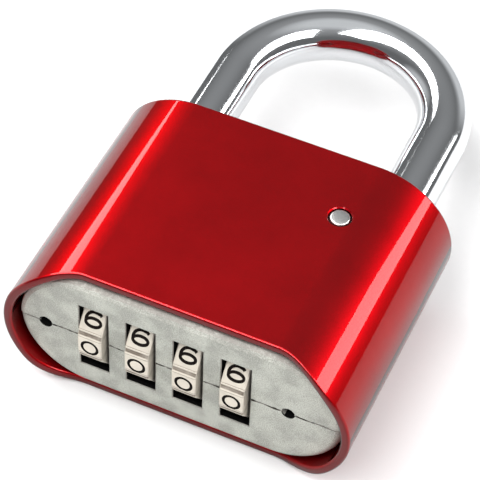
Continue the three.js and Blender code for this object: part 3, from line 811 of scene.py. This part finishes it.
@dataclass
class Casting:
    """The two halves of the zinc casting, with their windows, bores and parting line."""

    front_round: float = 0.5 * MM
    rear_round: float = 1.15 * MM
    round_steps: int = 7
    arc_steps: int = 40
    fine: float = 0.02 * MM
    window_width: float = 4.2 * MM
    window_height: float = 11.9 * MM
    window_depth: float = 5 * MM
    window_edge: float = 0.13 * MM
    pocket_slip: float = 0.45 * MM
    bore_slip: float = 0.36 * MM
    bore_lip: float = 0.35 * MM
    drain_radius: float = 0.83 * MM
    drain_left: float = -19.35 * MM
    seam_step: float = 0.45 * MM
    seed: float = 3.7

    def outline(self, inset: float, y: float) -> list[Vector]:
        """Draws the casting's outline across the body.

        Args:
            inset: How far inside the casting's own outline.
            y: Where along the body.

        Returns:
            The ring of points.
        """
        low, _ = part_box("rear_core")
        _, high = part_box("front_core")
        middle = (low.z + high.z) / 2
        full = (high.z - low.z) / 2
        radius = full - inset
        flat = (high.x - low.x) / 2 - full
        ring = []
        for side in (1, -1):
            for step in range(self.arc_steps + 1):
                angle = math.pi * (step / self.arc_steps - 0.5) + (0 if side > 0 else math.pi)
                ring.append(Vector((side * flat + radius * math.cos(angle), y,
                                    middle + radius * math.sin(angle))))
        return ring

    def envelope(self, edge: float) -> bpy.types.Object:
        """Makes the casting's outer form, with a round edge at both ends.

        Args:
            edge: The edge's radius.

        Returns:
            The form.
        """
        low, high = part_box("rear_core")
        rings = []
        for end, way in ((low.y + self.fine, 1), (high.y - self.fine, -1)):
            quarter = []
            for step in range(self.round_steps + 1):
                angle = math.pi / 2 * step / self.round_steps
                inset = self.fine + edge * (1 - math.sin(angle))
                quarter.append(self.outline(inset, end + way * edge * (1 - math.cos(angle))))
            rings.extend(quarter if way > 0 else reversed(quarter))
        return lofted("casting_envelope", rings, Finishes.ZINC.material())

    def window_tools(self) -> list[bpy.types.Object]:
        """Makes the tools that line each window in shadow and break its edge."""
        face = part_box("front_core")[0].y
        tools = []
        for number in range(1, 5):
            low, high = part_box(f"dial_{number}")
            x, z = (low.x + high.x) / 2, (low.z + high.z) / 2
            half = Vector((self.window_width / 2 + self.fine, 0, self.window_height / 2 + self.fine))
            low_corner = Vector((x, face - MM, z)) - half
            high_corner = Vector((x, face + self.window_depth, z)) + half
            tools.append(block(f"window_{number}", low_corner, high_corner, Finishes.SHADE.material()))
            tools.append(self.pocket_tool(number))
            rings = []
            for y, more in ((-1.0 * MM, 1.0), (self.fine, 1.0), (self.fine + self.window_edge, 0.0)):
                spread = self.window_edge * more
                reach_x, reach_z = half.x + spread, half.z + spread
                corners = ((-1, -1), (1, -1), (1, 1), (-1, 1))
                rings.append([Vector((x + reach_x * across, face + y, z + reach_z * up))
                              for across, up in corners])
            tools.append(lofted(f"window_edge_{number}", rings, Finishes.ZINC.material()))
        return tools

    def pocket_tool(self, number: int) -> bpy.types.Object:
        """Makes the tool that lines one wheel's round pocket in shadow."""
        low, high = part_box(f"dial_{number}")
        middle = (low + high) / 2
        radius = (high.y - low.y) / 2 / math.cos(math.pi / 10) + self.pocket_slip + self.fine
        half = self.window_width / 2 + self.fine
        base = Matrix.Translation(middle) @ Matrix.Rotation(math.radians(90), 4, "Y")
        shade = Finishes.SHADE.material()
        return turned(f"pocket_{number}", [(radius, -half), (radius, half)], base, shade, 80)

    def bore_tools(self) -> list[bpy.types.Object]:
        """Makes the reamers for the shackle's bores and the drills for the drains."""
        low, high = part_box("shackle")
        bar = (high.z - low.z) / 2
        z = (low.z + high.z) / 2
        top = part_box("front_core")[1].y
        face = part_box("front_core")[0].y
        spring_low, spring_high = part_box("shackle_spring")
        heel_x = (spring_low.x + spring_high.x) / 2
        toe_x = low.x + bar
        middle = (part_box("dial_1")[0].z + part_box("dial_1")[1].z) / 2
        radius = bar + self.bore_slip
        tools = []
        for name, x in (("heel_bore", heel_x), ("toe_bore", toe_x)):
            profile = [(radius, -9 * MM), (radius, -self.bore_lip), (radius + self.bore_lip, 0.0),
                       (radius + self.bore_lip, 1 * MM)]
            tools.append(turned(name, profile, along_y(x, top - self.fine, z), Finishes.ZINC.material()))
        for name, x in (("right_drain", heel_x), ("left_drain", self.drain_left)):
            lip = self.drain_radius + 0.12 * MM
            profile = [(lip, -MM), (lip, self.fine), (self.drain_radius, self.fine + 0.12 * MM),
                       (self.drain_radius, 3 * MM)]
            # The drains are lined in the black painted shade.
            tools.append(turned(name, profile, along_y(x, face, middle), Finishes.SHADE.material(), 40))
        return tools

    def seam_tool(self) -> bpy.types.Object:
        """Makes the ragged V along the parting line, where the halves never quite meet.

        Returns:
            The tool.
        """
        low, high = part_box("rear_core")
        middle = (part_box("dial_1")[0].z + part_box("dial_1")[1].z) / 2
        rings = []
        count = round((high.x - low.x) / self.seam_step)
        for step in range(count + 1):
            x = low.x + (high.x - low.x) * step / count
            drift = noise.noise(Vector((x / (1.7 * MM), self.seed, 0.0)))
            chip = noise.noise(Vector((x / (0.8 * MM), self.seed, 5.0)))
            half = max(0.03, 0.12 + 0.15 * chip) * MM
            centre = middle + 0.16 * MM * drift
            depth = (0.22 + 0.1 * chip) * MM
            face = low.y + self.fine
            rings.append([Vector((x, face - 0.5 * MM, centre - half)),
                          Vector((x, face - 0.5 * MM, centre + half)),
                          Vector((x, face, centre + half)),
                          Vector((x, face + depth, centre)),
                          Vector((x, face, centre - half))])
        return lofted("seam_tool", rings, Finishes.GRIME.material())

    def half(self, node: str, name: str, edge: float) -> bpy.types.Object:
        """Finishes one half of the casting. Its top end is lacquered with the sleeve.

        Args:
            node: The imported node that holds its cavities.
            name: The finished piece's name.
            edge: The radius of its end edges.

        Returns:
            The half.
        """
        piece = copied(node, name, Finishes.ZINC.material())
        cut(piece, [self.envelope(edge)], "INTERSECT")
        cut(piece, [*self.window_tools(), *self.bore_tools(), self.seam_tool()])
        shaded(piece, 30)
        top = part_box(node)[1].y - self.rear_round
        piece.data.materials.append(Finishes.LACQUER.material())
        for face in piece.data.polygons:
            if face.center.y > top and face.normal.y > 0.3:
                face.material_index = len(piece.data.materials) - 1
        return fitted(piece, "lock_body", "cast_zinc", node)

    def build(self) -> list[bpy.types.Object]:
        """Builds both halves."""
        return [self.half("front_core", "front_casting", self.front_round),
                self.half("rear_core", "rear_casting", self.rear_round)]


# ---------------------------------------------------------------- shackle


@dataclass
class Shackle:
    """The chrome bar bent round to a U, with the notches that lock it."""

    points: int = 244
    sides: int = 72
    end_taper: float = 0.9 * MM
    end_share: float = 0.2
    toe_end: float = 25 * MM
    relief_depth: float = 2.05 * MM
    notch_half: float = 1.7 * MM
    notch_depth: float = 2.2 * MM
    pin_slip: float = 0.3 * MM
    travel: float = 11 * MM

    def bar(self) -> bpy.types.Object:
        """Sweeps the round bar up the heel leg, round the bow and down the toe leg.

        Returns:
            The bar with no notches.
        """
        low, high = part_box("shackle")
        radius_size = (high.z - low.z) / 2
        bow_size = (high.x - low.x) / 2 - radius_size
        spring_line = high.y - radius_size - bow_size
        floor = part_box("shell")[0].y + 2.3 * MM
        shape = Shape("shackle")
        radius = shape.given("Bar Radius", radius_size)
        bow = shape.given("Bow Radius", bow_size)
        heel = shape.given("Heel Length", spring_line - low.y)
        toe = shape.given("Toe Length", spring_line - floor - self.toe_end)
        seat = shape.given("Seat", Vector(((low.x + high.x) / 2, spring_line, (low.z + high.z) / 2)),
                           "Vector")
        count = shape.given("Points", self.points, "Int")
        sides = shape.given("Sides", self.sides, "Int")
        taper = shape.given("End Taper", self.end_taper)

        arc = shape.math("MULTIPLY", bow, math.pi)
        total = shape.math("ADD", shape.math("ADD", heel, arc), toe)
        index = shape.node("GeometryNodeInputIndex").outputs[0]
        share = shape.math("DIVIDE", index, shape.math("SUBTRACT", count, 1.0))
        run = shape.math("MULTIPLY", share, total)
        past_heel = shape.math("SUBTRACT", run, heel)
        on_arc = shape.math("MINIMUM", shape.math("MAXIMUM", past_heel, 0.0), arc)
        angle = shape.math("DIVIDE", on_arc, bow)
        below_heel = shape.math("MAXIMUM", shape.math("SUBTRACT", heel, run), 0.0)
        below_toe = shape.math("MAXIMUM", shape.math("SUBTRACT", past_heel, arc), 0.0)
        x = shape.math("MULTIPLY", bow, shape.math("COSINE", angle))
        height = shape.math("MULTIPLY", bow, shape.math("SINE", angle))
        y = shape.math("SUBTRACT", shape.math("SUBTRACT", height, below_heel), below_toe)
        line = shape.node("GeometryNodeMeshLine", {"Count": count}).outputs[0]
        bent = shape.node("GeometryNodeSetPosition", {"Geometry": line, "Position": shape.vector(x, y)})
        curve = shape.node("GeometryNodeMeshToCurve", {"Mesh": bent.outputs[0]}).outputs[0]
        path = shape.node("GeometryNodeSetCurveNormal", {"Curve": curve}, mode="Z_UP").outputs[0]
        ring = shape.node("GeometryNodeCurvePrimitiveCircle",
                          {"Resolution": sides, "Radius": radius}).outputs[0]
        from_end = shape.math("MINIMUM", run, shape.math("SUBTRACT", total, run))
        share_in = shape.math("MINIMUM", shape.math("DIVIDE", from_end, taper), 1.0)
        missing = shape.math("MULTIPLY", shape.math("SUBTRACT", 1.0, share_in), self.end_share)
        mesh = shape.sweep(path, ring, shape.math("SUBTRACT", 1.0, missing))
        placed = shape.node("GeometryNodeTransform", {"Geometry": mesh, "Translation": seat})
        return shape.grow("shackle_bar", placed.outputs[0], Finishes.CHROME.material())

    def notch_tools(self) -> list[bpy.types.Object]:
        """Makes the cutters for the locking notches, the flat past the pin and the neck."""
        low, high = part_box("shackle")
        bar = (high.z - low.z) / 2
        z = (low.z + high.z) / 2
        heel_x, toe_x = high.x - bar, low.x + bar
        pin_low, pin_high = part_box("retaining_pin")
        pin_y, pin = (pin_low.y + pin_high.y) / 2, (pin_high.y - pin_low.y) / 2
        dog_low, dog_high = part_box("heel_dog")
        dog_y = (dog_low.y + dog_high.y) / 2
        chrome = Finishes.CHROME.material()
        flat_low = pin_y - self.travel - pin - self.pin_slip
        flat_high = pin_y + pin + self.pin_slip
        neck_high = flat_low + 2 * (pin + self.pin_slip)
        out = bar + MM
        inner = heel_x - bar
        toe_inner = toe_x + bar
        neck = bar - self.relief_depth + 0.15 * MM
        ring = [(out, 0.0), (out, neck_high - flat_low), (neck, neck_high - flat_low), (neck, 0.0)]
        return [
            turned("neck_tool", ring, along_y(heel_x, flat_low, z), chrome, hollow=True),
            block("flat_tool", Vector((inner - MM, flat_low, z - out)),
                  Vector((inner + self.relief_depth, flat_high, z + out)), chrome),
            block("heel_notch", Vector((inner - MM, dog_y - self.notch_half, z - out)),
                  Vector((inner + self.notch_depth, dog_y + self.notch_half, z + out)), chrome),
            block("toe_notch", Vector((toe_inner - self.notch_depth, dog_y - self.notch_half, z - out)),
                  Vector((toe_inner + MM, dog_y + self.notch_half, z + out)), chrome),
        ]

    def build(self) -> bpy.types.Object:
        """Builds the shackle and fits it.

        Returns:
            The shackle.
        """
        bar = cut(self.bar(), self.notch_tools())
        return fitted(shaded(bar, 35), "shackle", "shackle_chrome", "shackle")


# ---------------------------------------------------------------- number wheels


@dataclass(frozen=True)
class Stroke:
    """One stroke of a number: a stretch of ellipse, with straight runs before and after."""

    before: tuple[Point, ...] = ()
    centre: Point = (0.0, 0.0)
    radii: Point = (0.0, 0.0)
    sweep: Point = (0.0, 0.0)
    after: tuple[Point, ...] = ()
    weight: float = 1.0

    def points(self) -> list[Point]:
        """Gives the stroke's points, in millimetres."""
        made = list(self.before)
        start, end = self.sweep
        steps = round(abs(end - start) / 10)
        for step in range(steps + 1 if steps else 0):
            angle = math.radians(start + (end - start) * step / steps)
            made.append((self.centre[0] + self.radii[0] * math.cos(angle),
                         self.centre[1] + self.radii[1] * math.sin(angle)))
        return made + list(self.after)

    @property
    def closed(self) -> bool:
        """Whether the stroke goes all the way round."""
        return abs(self.sweep[1] - self.sweep[0]) >= 360


SIX = (
    Stroke(before=((1.04, 0.7), (0.76, 0.92)), centre=(0.05, 0.0), radii=(1.09, 1.02),
           sweep=(72, 180), after=((-1.0, -0.43),), weight=1.06),
    Stroke(centre=(0.09, -0.43), radii=(1.09, 0.57), sweep=(0, 360), weight=1.06),
)
NUMERALS: dict[int, tuple[Stroke, ...]] = {
    0: (Stroke(centre=(-0.04, 0.22), radii=(1.12, 1.14), sweep=(0, 360)),),
    1: (Stroke(before=((-0.55, 0.72), (0.05, 1.12), (0.05, -1.12))),),
    2: (Stroke(centre=(0.0, 0.46), radii=(0.98, 0.66), sweep=(165, -28),
               after=((-1.02, -1.1), (1.05, -1.1))),),
    3: (Stroke(centre=(-0.05, 0.54), radii=(0.92, 0.56), sweep=(150, -90)),
        Stroke(centre=(-0.05, -0.55), radii=(1.06, 0.57), sweep=(90, -150))),
    4: (Stroke(before=((0.5, -1.12), (0.5, 1.12), (-1.08, -0.42), (1.1, -0.42))),),
    5: (Stroke(before=((0.9, 1.1), (-0.78, 1.1), (-0.86, 0.12)), centre=(-0.05, -0.38),
               radii=(1.06, 0.74), sweep=(125, -150)),),
    6: SIX,
    7: (Stroke(before=((-1.02, 1.1), (1.04, 1.1), (-0.3, -1.12))),),
    8: (Stroke(centre=(0.0, 0.56), radii=(0.86, 0.55), sweep=(0, 360)),
        Stroke(centre=(0.0, -0.5), radii=(1.07, 0.62), sweep=(0, 360))),
    9: SIX,
}


@dataclass
class NumberWheels:
    """The four number wheels: ten flats each, parted by grooves, with filled numbers."""

    facets: int = 10
    plateau: float = 1.56 * MM
    line: float = 0.07 * MM
    line_depth: float = 0.055 * MM
    groove_edge: float = 1.86 * MM
    groove_depth: float = 0.16 * MM
    ridge_drop: float = 0.2 * MM
    edge: float = 0.16 * MM
    bore: float = 2.45 * MM
    pen: float = 0.22 * MM
    nine_rise: float = 0.22
    pen_sides: int = 10

    def outline(self, apothem: float) -> list[tuple[float, float, float]]:
        """Draws the wheel's section about its axis, starting at the flat that faces -Y.

        Args:
            apothem: From the axis to a flat.

        Returns:
            For each point its y, its z, and how deep it lies in a groove from 0 to 1.
        """
        half = math.pi / self.facets
        corner = apothem / math.cos(half) - self.ridge_drop
        side = [
            (self.plateau - self.line, 0.0, 0.0),
            (self.plateau, self.line_depth, 1.0),
            (self.plateau + self.line, 0.0, 0.1),
            (self.groove_edge - self.line, 0.01 * MM, 0.1),
            (self.groove_edge + self.line, self.groove_depth, 1.0),
        ]
        points = []
        for facet in range(self.facets):
            turn = Matrix.Rotation(facet * 2 * half, 2)
            flat = [(-across, drop, groove_dark) for across, drop, groove_dark in reversed(side)] + side
            for across, drop, groove_dark in flat:
                y, z = turn @ Vector((-(apothem - drop), -across))
                points.append((y, z, groove_dark))
            y, z = turn @ Matrix.Rotation(half, 2) @ Vector((-corner, 0.0))
            points.append((y, z, 0.9))
        return points

    def blank(self) -> bpy.types.Object:
        """Makes one wheel about its own middle, with no numbers yet.

        Returns:
            The blank wheel.
        """
        low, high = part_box("dial_1")
        apothem, half = (high.y - low.y) / 2, (high.x - low.x) / 2
        outline = self.outline(apothem)
        rings, hollows = [], []
        for x, scale, keep in ((-half, 1 - self.edge / apothem, 0.4), (self.edge - half, 1.0, 1.0),
                               (half - self.edge, 1.0, 1.0), (half, 1 - self.edge / apothem, 0.4)):
            rings.append([Vector((x, y * scale, z * scale)) for y, z, _ in outline])
            hollows.extend(groove_dark * keep for _, _, groove_dark in outline)
        for x in (half, -half):
            inner = []
            for y, z, _ in outline:
                length = math.hypot(y, z)
                inner.append(Vector((x, y / length * self.bore, z / length * self.bore)))
            rings.append(inner)
            hollows.extend(0.5 for _ in outline)
        wheel = lofted("wheel_blank", rings, Finishes.WHEEL.material(), closed=True)
        layer = wheel.data.attributes.new("hollow", "FLOAT", "POINT")
        layer.data.foreach_set("value", hollows)
        return wheel

    def pen_strokes(self) -> bpy.types.Collection:
        """Draws the ten numbers as curves on the flat that faces -Y, one object each.

        Returns:
            The collection of curves, in the order of the numbers.
        """
        low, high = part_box("dial_1")
        apothem = (high.y - low.y) / 2
        drawer = bpy.data.collections.new("numbers")
        for number, strokes in NUMERALS.items():
            curve = bpy.data.curves.new(f"number_{number}", "CURVE")
            curve.dimensions = "3D"
            flip = -1 if number == 9 else 1
            for stroke in strokes:
                points = stroke.points()[:-1] if stroke.closed else stroke.points()
                spline = curve.splines.new("POLY")
                spline.points.add(len(points) - 1)
                spline.use_cyclic_u = stroke.closed
                for spot, (across, up) in zip(spline.points, points):
                    height = up * flip - (self.nine_rise if number == 9 else 0.0)
                    spot.co = (-across * flip * MM, -apothem - 0.03 * MM, -height * MM, 1.0)
                    spot.radius = stroke.weight
            drawer.objects.link(bpy.data.objects.new(f"number_{number}", curve))
        return drawer

    def engraver(self) -> bpy.types.Object:
        """Sets the ten numbers round the wheel and sweeps a round cutter along them.

        Returns:
            The cutter, filled with ink.
        """
        drawer = self.pen_strokes()
        shape = Shape("engraver")
        count = shape.given("Flats", self.facets, "Int")
        pen = shape.given("Pen Radius", self.pen)
        sides = shape.given("Pen Sides", self.pen_sides, "Int")
        numbers = shape.given("Numbers", drawer, "Collection")
        drawn = shape.node("GeometryNodeCollectionInfo", {
            "Collection": numbers, "Separate Children": True, "Reset Children": True}).outputs[0]
        seats = shape.node("GeometryNodeMeshLine",
                           {"Count": count, "Offset": (0.0, 0.0, 0.0)}).outputs[0]
        index = shape.node("GeometryNodeInputIndex").outputs[0]
        turn = shape.math("DIVIDE", shape.math("MULTIPLY", index, math.tau), count)
        around = shape.node("FunctionNodeEulerToRotation", {0: shape.vector(turn)}).outputs[0]
        set_round = shape.node("GeometryNodeInstanceOnPoints", {
            "Points": seats, "Instance": drawn, "Pick Instance": True,
            "Instance Index": index, "Rotation": around}).outputs[0]
        curves = shape.node("GeometryNodeRealizeInstances", {0: set_round}).outputs[0]
        fine = shape.node("GeometryNodeResampleCurve",
                          {"Curve": curves, "Length": self.pen * 0.55}, mode="LENGTH").outputs[0]
        tip = shape.node("GeometryNodeCurvePrimitiveCircle",
                         {"Resolution": sides, "Radius": pen}).outputs[0]
        weight = shape.node("GeometryNodeInputRadius").outputs[0]
        cutter = shape.grow("engraver", shape.sweep(fine, tip, weight), Finishes.INK.material())
        for drawn_object in list(drawer.objects):
            bpy.data.objects.remove(drawn_object)
        bpy.data.collections.remove(drawer)
        return cutter

    def build(self) -> list[bpy.types.Object]:
        """Builds one engraved wheel and fits a copy at each dial.

        Returns:
            The four wheels.
        """
        model = shaded(cut(self.blank(), [self.engraver()]), 28)
        wheels = []
        for number in range(1, 5):
            low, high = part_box(f"dial_{number}")
            mesh = model.data.copy()
            mesh.transform(Matrix.Translation((low + high) / 2))
            wheel = link(f"number_wheel_{number}", mesh)
            wheels.append(fitted(wheel, f"dial_unit_{number}", "dial_nickel", f"dial_{number}"))
        bpy.data.objects.remove(model)
        return wheels


# ---------------------------------------------------------------- works


@dataclass
class CoilSpring:
    """A spring of round wire: which node it replaces, and how it is wound."""

    node: str
    body: str
    axis: str
    wire: float
    turns: float
    steps: int = 28
    sides: int = 12

    def build(self) -> bpy.types.Object:
        """Winds the spring inside its node's box and fits it.

        Returns:
            The spring.
        """
        low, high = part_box(self.node)
        size = high - low
        along = size.x if self.axis == "X" else size.y
        across = size.z
        shape = Shape(self.node)
        wire = shape.given("Wire Radius", self.wire)
        radius = shape.given("Coil Radius", across / 2 - self.wire)
        length = shape.given("Length", along - 2 * self.wire)
        turns = shape.given("Turns", self.turns)
        steps = shape.given("Steps", self.steps, "Int")
        sides = shape.given("Sides", self.sides, "Int")
        seat = shape.given("Seat", (low + high) / 2, "Vector")
        helix = shape.node("GeometryNodeCurveSpiral", {
            "Resolution": steps, "Rotations": turns, "Start Radius": radius,
            "End Radius": radius, "Height": length}).outputs[0]
        centred = shape.node("GeometryNodeTransform", {
            "Geometry": helix,
            "Translation": shape.vector(0.0, 0.0, shape.math("MULTIPLY", length, -0.5))}).outputs[0]
        section = shape.node("GeometryNodeCurvePrimitiveCircle",
                             {"Resolution": sides, "Radius": wire}).outputs[0]
        quarter = math.radians(90)
        turn = (0.0, quarter, 0.0) if self.axis == "X" else (quarter, 0.0, 0.0)
        placed = shape.node("GeometryNodeTransform", {
            "Geometry": shape.sweep(centred, section), "Translation": seat, "Rotation": turn})
        coil = shape.grow(f"{self.node}_coil", placed.outputs[0], Finishes.SPRING.material())
        return fitted(shaded(coil, 60), self.body, "spring_steel", self.node)


@dataclass
class Rivet:
    """The pin through the sleeve, its ends hammered to a low dome."""

    dome: float = 0.12 * MM
    land: float = 0.22 * MM
    rings: int = 9
    sides: int = 72

    def build(self) -> bpy.types.Object:
        """Builds the rivet and fits it.

        Returns:
            The rivet.
        """
        low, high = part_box("retaining_pin")
        radius, depth = (high.x - low.x) / 2, high.z - low.z
        end = []
        for ring in range(1, self.rings + 1):
            share = ring / self.rings
            fall = self.dome * share ** 3 + (self.land if ring == self.rings else 0.0)
            end.append((radius * min(share, 1.0), fall))
        profile = [(r, drop) for r, drop in end] + [(r, depth - drop) for r, drop in reversed(end)]
        base = Matrix.Translation(((low.x + high.x) / 2, (low.y + high.y) / 2, low.z))
        pin = turned("rivet", profile, base, Finishes.STEEL.material(), self.sides)
        return fitted(shaded(pin, 50), "lock_body", "steel", "retaining_pin")


@dataclass
class Works:
    """What works the lock inside the casting: gates, fence, dogs, pins and springs."""

    springs: tuple[CoilSpring, ...] = (
        CoilSpring("shackle_spring", "lock_body", "Y", 0.4 * MM, 6),
        CoilSpring("spindle_spring", "lock_body", "X", 0.18 * MM, 2),
        CoilSpring("fence_spring_1", "fence", "Y", 0.25 * MM, 5),
        CoilSpring("fence_spring_2", "fence", "Y", 0.25 * MM, 5),
    )

    def build(self) -> list[bpy.types.Object]:
        """Builds every inner piece and fits it.

        Returns:
            The pieces.
        """
        pieces = [spring.build() for spring in self.springs]
        plain = [("spindle", "spindle_shaft", "lock_body"), ("spindle_washer", "end_washer", "lock_body"),
                 ("fence", "fence_bar", "fence"), ("heel_dog", "heel_bolt", "heel_dog"),
                 ("toe_dog", "toe_bolt", "toe_dog"), ("core_dowel_1", "dowel_1", "lock_body"),
                 ("core_dowel_2", "dowel_2", "lock_body")]
        for node, name, body in plain:
            piece = softened(node, name, Finishes.STEEL.material())
            pieces.append(fitted(piece, body, "steel", node))
        comb = softened("detent_comb", "click_comb", Finishes.SPRING.material(), 0.04 * MM)
        pieces.append(fitted(comb, "lock_body", "spring_steel", "detent_comb"))
        for number in range(1, 5):
            node = f"gate_sleeve_{number}"
            bush = softened(node, f"gate_bush_{number}", Finishes.BRASS.material())
            pieces.append(fitted(bush, f"dial_unit_{number}", "brass", node))
        return pieces


# ---------------------------------------------------------------- studio


@dataclass(frozen=True)
class Softbox:
    """A long soft panel beside or over the table, given by one corner and its two sides."""

    name: str
    corner: tuple[float, float, float]
    along: tuple[float, float, float]
    across: tuple[float, float, float]
    radiance: float

    def build(self, aim: Vector, scale: float) -> bpy.types.Object:
        """Hangs the panel with its face towards the lock.

        Args:
            aim: The point that the corner is measured from.
            scale: How long a unit of the panel's measures is.

        Returns:
            The lamp.
        """
        along, across = Vector(self.along) * scale, Vector(self.across) * scale
        middle = Vector(self.corner) * scale + (along + across) / 2
        away = along.cross(across).normalized()
        side = across.normalized()
        if away.dot(middle) < 0:
            away, side = -away, -side
        lamp = bpy.data.lights.new(self.name, "AREA")
        lamp.shape = "RECTANGLE"
        lamp.size, lamp.size_y = along.length, across.length
        lamp.energy = self.radiance * math.pi * along.length * across.length
        stand = bpy.data.objects.new(self.name, lamp)
        bpy.context.scene.collection.objects.link(stand)
        turn = Matrix((along.normalized(), side, away)).transposed().to_4x4()
        stand.matrix_world = Matrix.Translation(aim + middle) @ turn
        return stand


@dataclass
class Studio:
    """A pale table under soft lamps, and the camera above the lock's lower right."""

    azimuth: float = 22.457
    elevation: float = 48.927
    roll: float = 2.558
    distance: float = 312.16 * MM
    lens: float = 169.98
    aim: tuple[float, float, float] = (-2.159 * MM, -11.345 * MM, 11.25 * MM)
    floor_size: float = 6.0
    room: Colour = (0.97, 0.985, 1.0)
    reach: float = 1.1
    dim: float = 0.17
    dim_above: float = 0.4
    back_glow: float = 0.6
    side_glow: float = 0.5
    top_glow: float = 0.35
    lamps: tuple[Softbox, ...] = (
        Softbox("left_panel", (-1.456, 1.533, 1.0), (1.8, -2.4, 0.0), (-0.52, -0.39, 0.0), 9.0),
        Softbox("right_panel", (0.818, -0.592, 0.68), (1.42, 2.81, 0.0), (0.0, 0.0, 1.1), 9.0),
    )

    def camera(self) -> bpy.types.Object:
        """Sets the camera.

        Returns:
            The camera.
        """
        a, e, r = (math.radians(v) for v in (self.azimuth, self.elevation, self.roll))
        back = Vector((math.sin(a) * math.cos(e), -math.cos(a) * math.cos(e), math.sin(e)))
        level = Vector((math.cos(a), math.sin(a), 0.0))
        above = back.cross(level)
        right = level * math.cos(r) + above * math.sin(r)
        up = back.cross(right)
        eye = bpy.data.objects.new("camera", bpy.data.cameras.new("camera"))
        bpy.context.scene.collection.objects.link(eye)
        eye.data.lens = self.lens
        eye.data.clip_start, eye.data.clip_end = 0.01, 50.0
        turn = Matrix((right, up, back)).transposed().to_4x4()
        eye.matrix_world = Matrix.Translation(Vector(self.aim) + back * self.distance) @ turn
        bpy.context.scene.camera = eye
        return eye

    def table(self) -> bpy.types.Object:
        """Lays the table under the lock."""
        low = CAD_BOX[0]
        reach = self.floor_size / 2
        rings = [[Vector((x * reach, y * reach, low.z - drop)) for x, y in
                  ((-1, -1), (1, -1), (1, 1), (-1, 1))] for drop in (20 * MM, 0.02 * MM)]
        floor = lofted("table", rings, Finishes.FLOOR.material())
        floor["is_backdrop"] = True
        return floor

    def surroundings(self) -> None:
        """Lights the room: bright low down all round, dimmer overhead."""
        world = bpy.data.worlds.new("room")
        bpy.context.scene.world = world
        world.use_nodes = True
        graph = Graph(world.node_tree)
        backdrop = next(n for n in world.node_tree.nodes if n.type == "BACKGROUND")
        way = graph.node("ShaderNodeTexCoord").outputs["Generated"]
        heading = graph.node("ShaderNodeSeparateXYZ", {0: way}).outputs
        low = graph.spread(heading[2], (0.28, 1.0), (0.52, 0.0))
        behind = graph.spread(heading[1], (0.72, 0.0), (0.9, self.back_glow))
        beside = graph.spread(heading[0], (-0.97, self.side_glow), (-0.85, 0.0))
        glow = graph.math("MULTIPLY", low, graph.math("ADD", behind, beside))
        above = graph.spread(heading[2], (0.86, 0.0), (0.97, self.top_glow))
        even = graph.spread(heading[2], (0.45, self.dim), (0.92, self.dim_above))
        level = graph.math("ADD", graph.math("ADD", glow, above), even)
        backdrop.inputs["Color"].default_value = (*self.room, 1.0)
        graph.feed(backdrop.inputs["Strength"], level)

    def build(self) -> None:
        """Builds the room, the lamps, the table and the camera."""
        self.surroundings()
        for lamp in self.lamps:
            lamp.build(Vector(self.aim), self.reach)
        self.table()
        self.camera()
        bpy.context.scene.view_settings.view_transform = "Standard"


# ---------------------------------------------------------------- assembly


def note_size() -> None:
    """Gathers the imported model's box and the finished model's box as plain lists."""
    boxes = {"cad": CAD_BOX, "visual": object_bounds()}
    plain = {name: [list(corner) for corner in box] for name, box in boxes.items()}


def main() -> None:
    """Builds the studio and every sub-assembly of the lock."""
    logging.basicConfig(level=logging.INFO, format="%(name)s: %(message)s")
    Studio().build()
    for assembly in (Sleeve(), Casting(), Shackle(), NumberWheels(), Rivet(), Works()):
        assembly.build()
    note_size()


if __name__ == "__main__":
    main()
